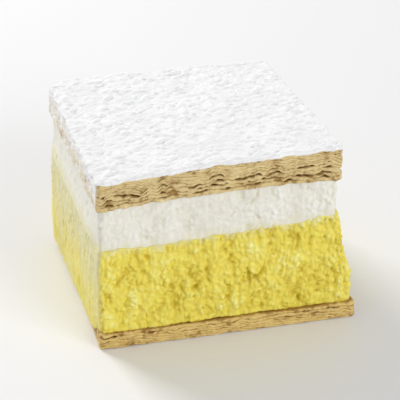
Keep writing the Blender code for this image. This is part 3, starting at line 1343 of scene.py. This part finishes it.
@dataclass
class SugarCoat:
    """Icing sugar on the lid: a lumpy sheet with a ragged edge, closed underneath inside the lid.

    Attributes:
        name: The piece's name.
        finish: Its material.
        thickness: Thickness at its edge.
        sink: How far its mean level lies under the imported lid's top.
        blister: Height and width of the broad blisters of the leaf below.
        lump: Height and width of the soft lumps.
        ripple: Height and width of the uneven surface over both.
        grain: Height and size of the crumbs of sugar.
        ragged: Least and greatest distance of its edge in from the lid's.
        edge: Width of its rounded edge.
        corner: Radius of its corners in plan.
        counts: Points across and back.
        seed: Chooses the pattern.
    """

    name: str
    finish: Finish
    thickness: float = 0.6 * MM
    sink: float = 0.1 * MM
    blister: tuple[float, float] = (0.7 * MM, 12.0 * MM)
    lump: tuple[float, float] = (0.6 * MM, 2.6 * MM)
    ripple: tuple[float, float] = (0.9 * MM, 1.5 * MM)
    grain: tuple[float, float] = (0.20 * MM, 0.8 * MM)
    ragged: tuple[float, float] = (-0.6 * MM, 0.3 * MM)
    edge: float = 1.1 * MM
    corner: float = 1.6 * MM
    counts: tuple[int, int] = (290, 240)
    seed: int = 80

    def plan(self, place: LayerPlace) -> tuple[np.ndarray, np.ndarray]:
        """Grid of places across the lid's top, closer together near its edge, with round corners.

        A place in a corner's square is pulled in along its ray, so that the square becomes a quarter disc.

        Args:
            place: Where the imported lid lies.

        Returns:
            Places shaped (back, across, 3) and each one's distance in from the edge.
        """
        along = [np.linspace(-1.0, 1.0, count) for count in self.counts]
        eased = [(1.0 + CROWDING) * line - CROWDING * line**CROWDING_POWER for line in along]
        across, back = np.meshgrid(eased[0], eased[1])
        straight = place.half - self.corner
        flat = np.stack([across, back], -1) * place.half
        over = np.maximum(np.abs(flat) - straight, 0.0)
        both = np.maximum(np.hypot(over[..., 0], over[..., 1]), 1e-9)
        pulled = np.where((over.min(-1) > 0)[..., None], over * (over.max(-1) / both)[..., None], over)
        flat = np.sign(flat) * (np.minimum(np.abs(flat), straight) + pulled)
        inward = self.corner - np.hypot(pulled[..., 0], pulled[..., 1])
        inward = np.where(over.max(-1) > 0, inward, (place.half - np.abs(flat)).min(-1))
        shares = flat / place.half / 2.0 + 0.5
        return place.at(shares[..., 0], shares[..., 1], np.ones(flat.shape[:-1])), inward

    def relief(self, points: np.ndarray) -> np.ndarray:
        """Height of the sheet: blisters, domed lumps, ripples and crumbs, with shallower hollows.

        Args:
            points: Places on the lid's top.

        Returns:
            Heights in metres.
        """
        flat = points * FLAT
        bend = [gradient_noise(flat, SUGAR_BEND_SIZE, self.seed + axis) for axis in range(2)]
        bent = flat + SUGAR_BEND * np.stack([*bend, 0 * flat[..., 0]], -1)
        blisters = self.blister[0] * fractal_noise(flat, self.blister[1], self.seed + 3, 2)
        near, _, chosen = cell_noise(bent, (1.2 * self.lump[1], self.lump[1], self.lump[1]), self.seed + 4)
        lumps = self.lump[0] * ((1.0 - smooth(near / 0.9)) * (0.2 + 0.8 * chosen) - 0.3)
        long_ripple = (RIPPLE_LENGTH * self.ripple[1], self.ripple[1], MM)
        ripples = self.ripple[0] * fractal_noise(bent, long_ripple, self.seed + 5, 2)
        crumbs = self.grain[0] * fractal_noise(flat, self.grain[1], self.seed + 9, 2)
        total = blisters + lumps + ripples + crumbs
        return np.where(total < 0, -DEEPEST * np.tanh(-total / DEEPEST), total)

    def surface(self, place: LayerPlace) -> tuple[np.ndarray, np.ndarray]:
        """Work out the sheet: its ragged outline, its relief, and its edge, which hangs in uneven folds.

        Args:
            place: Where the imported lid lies.

        Returns:
            Places shaped (back, across, 3) and the relief of each.
        """
        points, inward = self.plan(place)
        flat = points * FLAT
        middle = flat.mean((0, 1))
        share = smooth(0.5 + 0.8 * fractal_noise(flat, RAG_SIZE, self.seed + 12, 3))
        ragged = self.ragged[0] + (self.ragged[1] - self.ragged[0]) * share
        pull = ragged * (1.0 - smooth(inward / RAG_REACH))
        points[..., :2] -= (points - middle)[..., :2] / place.half * pull[..., None]
        rise = np.sqrt(1.0 - (1.0 - np.clip(inward / self.edge, 0.0, 1.0)) ** 2)
        relief = self.relief(points)
        drape = self.thickness * (1.0 + 1.1 * fractal_noise(flat, FOLD_SIZE, self.seed + 15, 3))
        points[..., 2] += rise * relief - self.sink - (1.0 - rise) * drape
        return points, relief

    def build(self, place: LayerPlace, groups: Groups) -> bpy.types.Object:
        """Close the sheet with a skirt and a fan underneath, and dress it.

        Args:
            place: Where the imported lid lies.
            groups: The shared node groups.

        Returns:
            The finished piece.
        """
        points, relief = self.surface(place)
        rows, columns = points.shape[:2]
        sheet = points.reshape(-1, 3)
        number = np.arange(rows * columns).reshape(rows, columns)
        rim = np.concatenate([number[0, :-1], number[:-1, -1], number[-1, :0:-1], number[:0:-1, 0]])
        under = sheet[rim] * UNDER_SHARE - UNDER_DROP
        after = len(sheet) + np.arange(len(rim))
        following = np.roll(after, -1)
        skirt = np.stack([rim, after, following, np.roll(rim, -1)], -1)
        fan = np.stack([np.full(len(rim), len(sheet) + len(rim)), following, after], -1)
        # Grey in the hollows and white on the crests: painted shade and painted highlight.
        crest = np.clip(0.5 + relief / CREST_SPAN, 0.0, 1.0).ravel()
        return make_piece(
            self.name, self.finish.build(groups), np.concatenate([sheet, under, [under.mean(0)]]),
            np.concatenate([grid_quads(rows, columns), skirt]), fan,
            {"crest": np.append(crest, np.full(len(rim) + 1, 0.5))},
        )


# ---- Floor, lights and camera ----


@dataclass(frozen=True)
class Lamp:
    """A square white area lamp that faces the slice.

    Attributes:
        name: Its name.
        place: Where it hangs.
        size: Length of its side.
        power: Its power in watts.
    """

    name: str
    place: tuple[float, float, float]
    size: float
    power: float

    def hang(self, target: Vector) -> None:
        """Hang the lamp and turn it to the target.

        Args:
            target: What it faces.
        """
        data = bpy.data.lights.new(self.name, "AREA")
        data.shape = "SQUARE"
        data.size = self.size
        data.energy = self.power
        lamp = bpy.data.objects.new(self.name, data)
        lamp.location = self.place
        lamp.rotation_euler = (target - Vector(self.place)).to_track_quat("-Z", "Y").to_euler()
        bpy.context.scene.collection.objects.link(lamp)


@dataclass
class Studio:
    """A pale floor, soft lamps and the camera.

    Attributes:
        floor_colour: The floor's colour.
        floor_roughness: The floor's roughness.
        floor_reach: Half the length of the floor's side.
        floor_drop: How far the floor lies under the slice.
        world: Strength of the even light from all round.
        lamps: A big lamp behind on the left, and another in front on the right.
        azimuth: The camera's direction in degrees, 0 in front and below 0 to the left.
        elevation: The camera's height in degrees.
        distance: From the camera to the slice.
        lens: Focal length in millimetres.
        sensor: Width of the sensor in millimetres.
        target: Where the camera and the lamps look.
    """

    floor_colour: Colour = (0.86, 0.86, 0.87)
    floor_roughness: float = 0.6
    floor_reach: float = 4.0
    floor_drop: float = 0.05 * MM
    world: float = 0.52
    lamps: tuple[Lamp, ...] = (
        Lamp("key", (-0.42, 0.78, 0.64), size=0.40, power=7.4),
        Lamp("fill", (0.5, -0.8, 0.5), size=0.6, power=4.3),
    )
    azimuth: float = -13.5
    elevation: float = 31.9
    distance: float = 0.759
    lens: float = 232.0
    sensor: float = 36.0
    target: tuple[float, float, float] = (0.0, 0.0, 0.027)

    def floor(self) -> None:
        """Lay a wide pale floor just under the slice, which keeps the slice's shadow."""
        signs = np.array([(-1, -1), (1, -1), (1, 1), (-1, 1)])
        corners = np.concatenate([signs * self.floor_reach, np.full((4, 1), -self.floor_drop)], -1)
        material = bpy.data.materials.new("pale_floor")
        material.use_nodes = True
        shader = material.node_tree.nodes["Principled BSDF"]
        shader.inputs["Base Color"].default_value = (*self.floor_colour, 1.0)
        shader.inputs["Roughness"].default_value = self.floor_roughness
        make_piece("floor", material, corners, np.array([[0, 1, 2, 3]]))

    def surroundings(self) -> None:
        """Light the scene evenly from all round."""
        world = bpy.data.worlds.new("studio")
        world.use_nodes = True
        background = world.node_tree.nodes["Background"]
        background.inputs["Color"].default_value = (1.0, 1.0, 1.0, 1.0)
        background.inputs["Strength"].default_value = self.world
        bpy.context.scene.world = world

    def camera(self) -> None:
        """Place the camera on its sphere round the slice and turn it to the slice."""
        azimuth, elevation = math.radians(self.azimuth), math.radians(self.elevation)
        level = math.cos(elevation)
        back = Vector((math.sin(azimuth) * level, -math.cos(azimuth) * level, math.sin(elevation)))
        data = bpy.data.cameras.new("camera")
        data.sensor_width = self.sensor
        data.lens = self.lens
        camera = bpy.data.objects.new("camera", data)
        camera.location = Vector(self.target) + back * self.distance
        camera.rotation_euler = (-back).to_track_quat("-Z", "Y").to_euler()
        bpy.context.scene.collection.objects.link(camera)
        bpy.context.scene.camera = camera

    def build(self) -> None:
        """Set up floor, world, lamps and camera, with colours shown as they are."""
        self.floor()
        self.surroundings()
        for lamp in self.lamps:
            lamp.hang(Vector(self.target))
        self.camera()
        bpy.context.scene.view_settings.view_transform = "Standard"


# ---- The slice ----

BASE = PastryStack(
    "base_leaves", "base_pastry", BASE_FINISH, leaves=6, gap=0.6, open_at=(0.40, 0.80), slots=0.6,
    recess=0.35 * MM, sway=0.7 * MM, hang=-0.9 * MM, dust=(0.0, 0.0), seed=40,
)
LID = PastryStack(
    "lid_leaves", "lid_pastry", LID_FINISH, leaves=10, gap=0.8, open_at=(0.65, 0.25), slots=0.8,
    recess=0.5 * MM, sway=0.9 * MM, hang=1.3 * MM, dust=(0.0, 0.2), left_dust=0.5, head_room=0.6 * MM,
    seed=60,
)
# The custard's smear reaches down its whole left cut: partly cream dragged by the knife, partly painted
# glare.
CUSTARD = SoftLayer(
    "custard_layer", "custard", CUSTARD_FINISH,
    Tear(
        streak=1.7 * MM, streak_size=(2.0 * MM, 6.5 * MM), lump=0.62 * MM, lump_size=(1.5 * MM, 2.3 * MM),
        crevice=0.45 * MM, pit=1.0 * MM, pit_size=2.7 * MM, fine=0.36 * MM, swell=(0.7 * MM, 6 * MM),
        seed=100,
    ),
    {Side.FRONT: 1.0, Side.BACK: 0.85, Side.RIGHT: 0.6, Side.LEFT: 0.22},
    wall_rows=88, floor_rise=-0.45 * MM, ceiling_rise=0.1 * MM, edge_wave=1.5 * MM,
    foot=(0.5 * MM, 4.3 * MM), drag_and_glare=-43 * MM, wrap=1.1 * MM,
)
CREAM = SoftLayer(
    "cream_layer", "whipped_cream", CREAM_FINISH,
    Tear(
        streak=0.5 * MM, streak_size=(2.2 * MM, 3.0 * MM), lump=0.45 * MM, lump_size=(2.0 * MM, 2.2 * MM),
        crevice=0.14 * MM, pit=0.8 * MM, pit_size=2.6 * MM, fine=0.16 * MM, swell=(0.5 * MM, 6 * MM),
        seed=150,
    ),
    {Side.FRONT: 1.0, Side.BACK: 0.85, Side.RIGHT: 0.7, Side.LEFT: 0.3},
    wall_rows=52, floor_rise=-1.3 * MM, ceiling_rise=0.7 * MM, edge_wave=0.6 * MM,
    foot=(0.9 * MM, 0.5 * MM), drag_and_glare=5 * MM, wrap=2.4 * MM,
)
SUGAR = SugarCoat("sugar_coat", SUGAR_FINISH)


def main() -> None:
    """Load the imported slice, stand a detailed piece in the place of each layer, and set the scene."""
    logging.basicConfig(level=logging.INFO, format="%(name)s: %(message)s")
    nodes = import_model()["nodes"]
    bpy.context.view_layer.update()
    groups = Groups.build()
    levels = {BASE.node: 3, CUSTARD.node: 7, CREAM.node: 5, LID.node: 3}
    places = {name: LayerPlace.read(nodes[name], count) for name, count in levels.items()}
    for layer, slot in ((BASE, "pastry"), (CUSTARD, "custard"), (CREAM, "whipped_cream"), (LID, "pastry")):
        piece = layer.build(places[layer.node], groups)
        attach(piece, BODY)
        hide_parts(layer.node)
        LOG.info("%s: %d faces", piece.name, len(piece.data.polygons))
    sugar = SUGAR.build(places[LID.node], groups)
    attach(sugar, BODY)
    LOG.info("%s: %d faces", sugar.name, len(sugar.data.polygons))
    Studio().build()


if __name__ == "__main__":
    main()
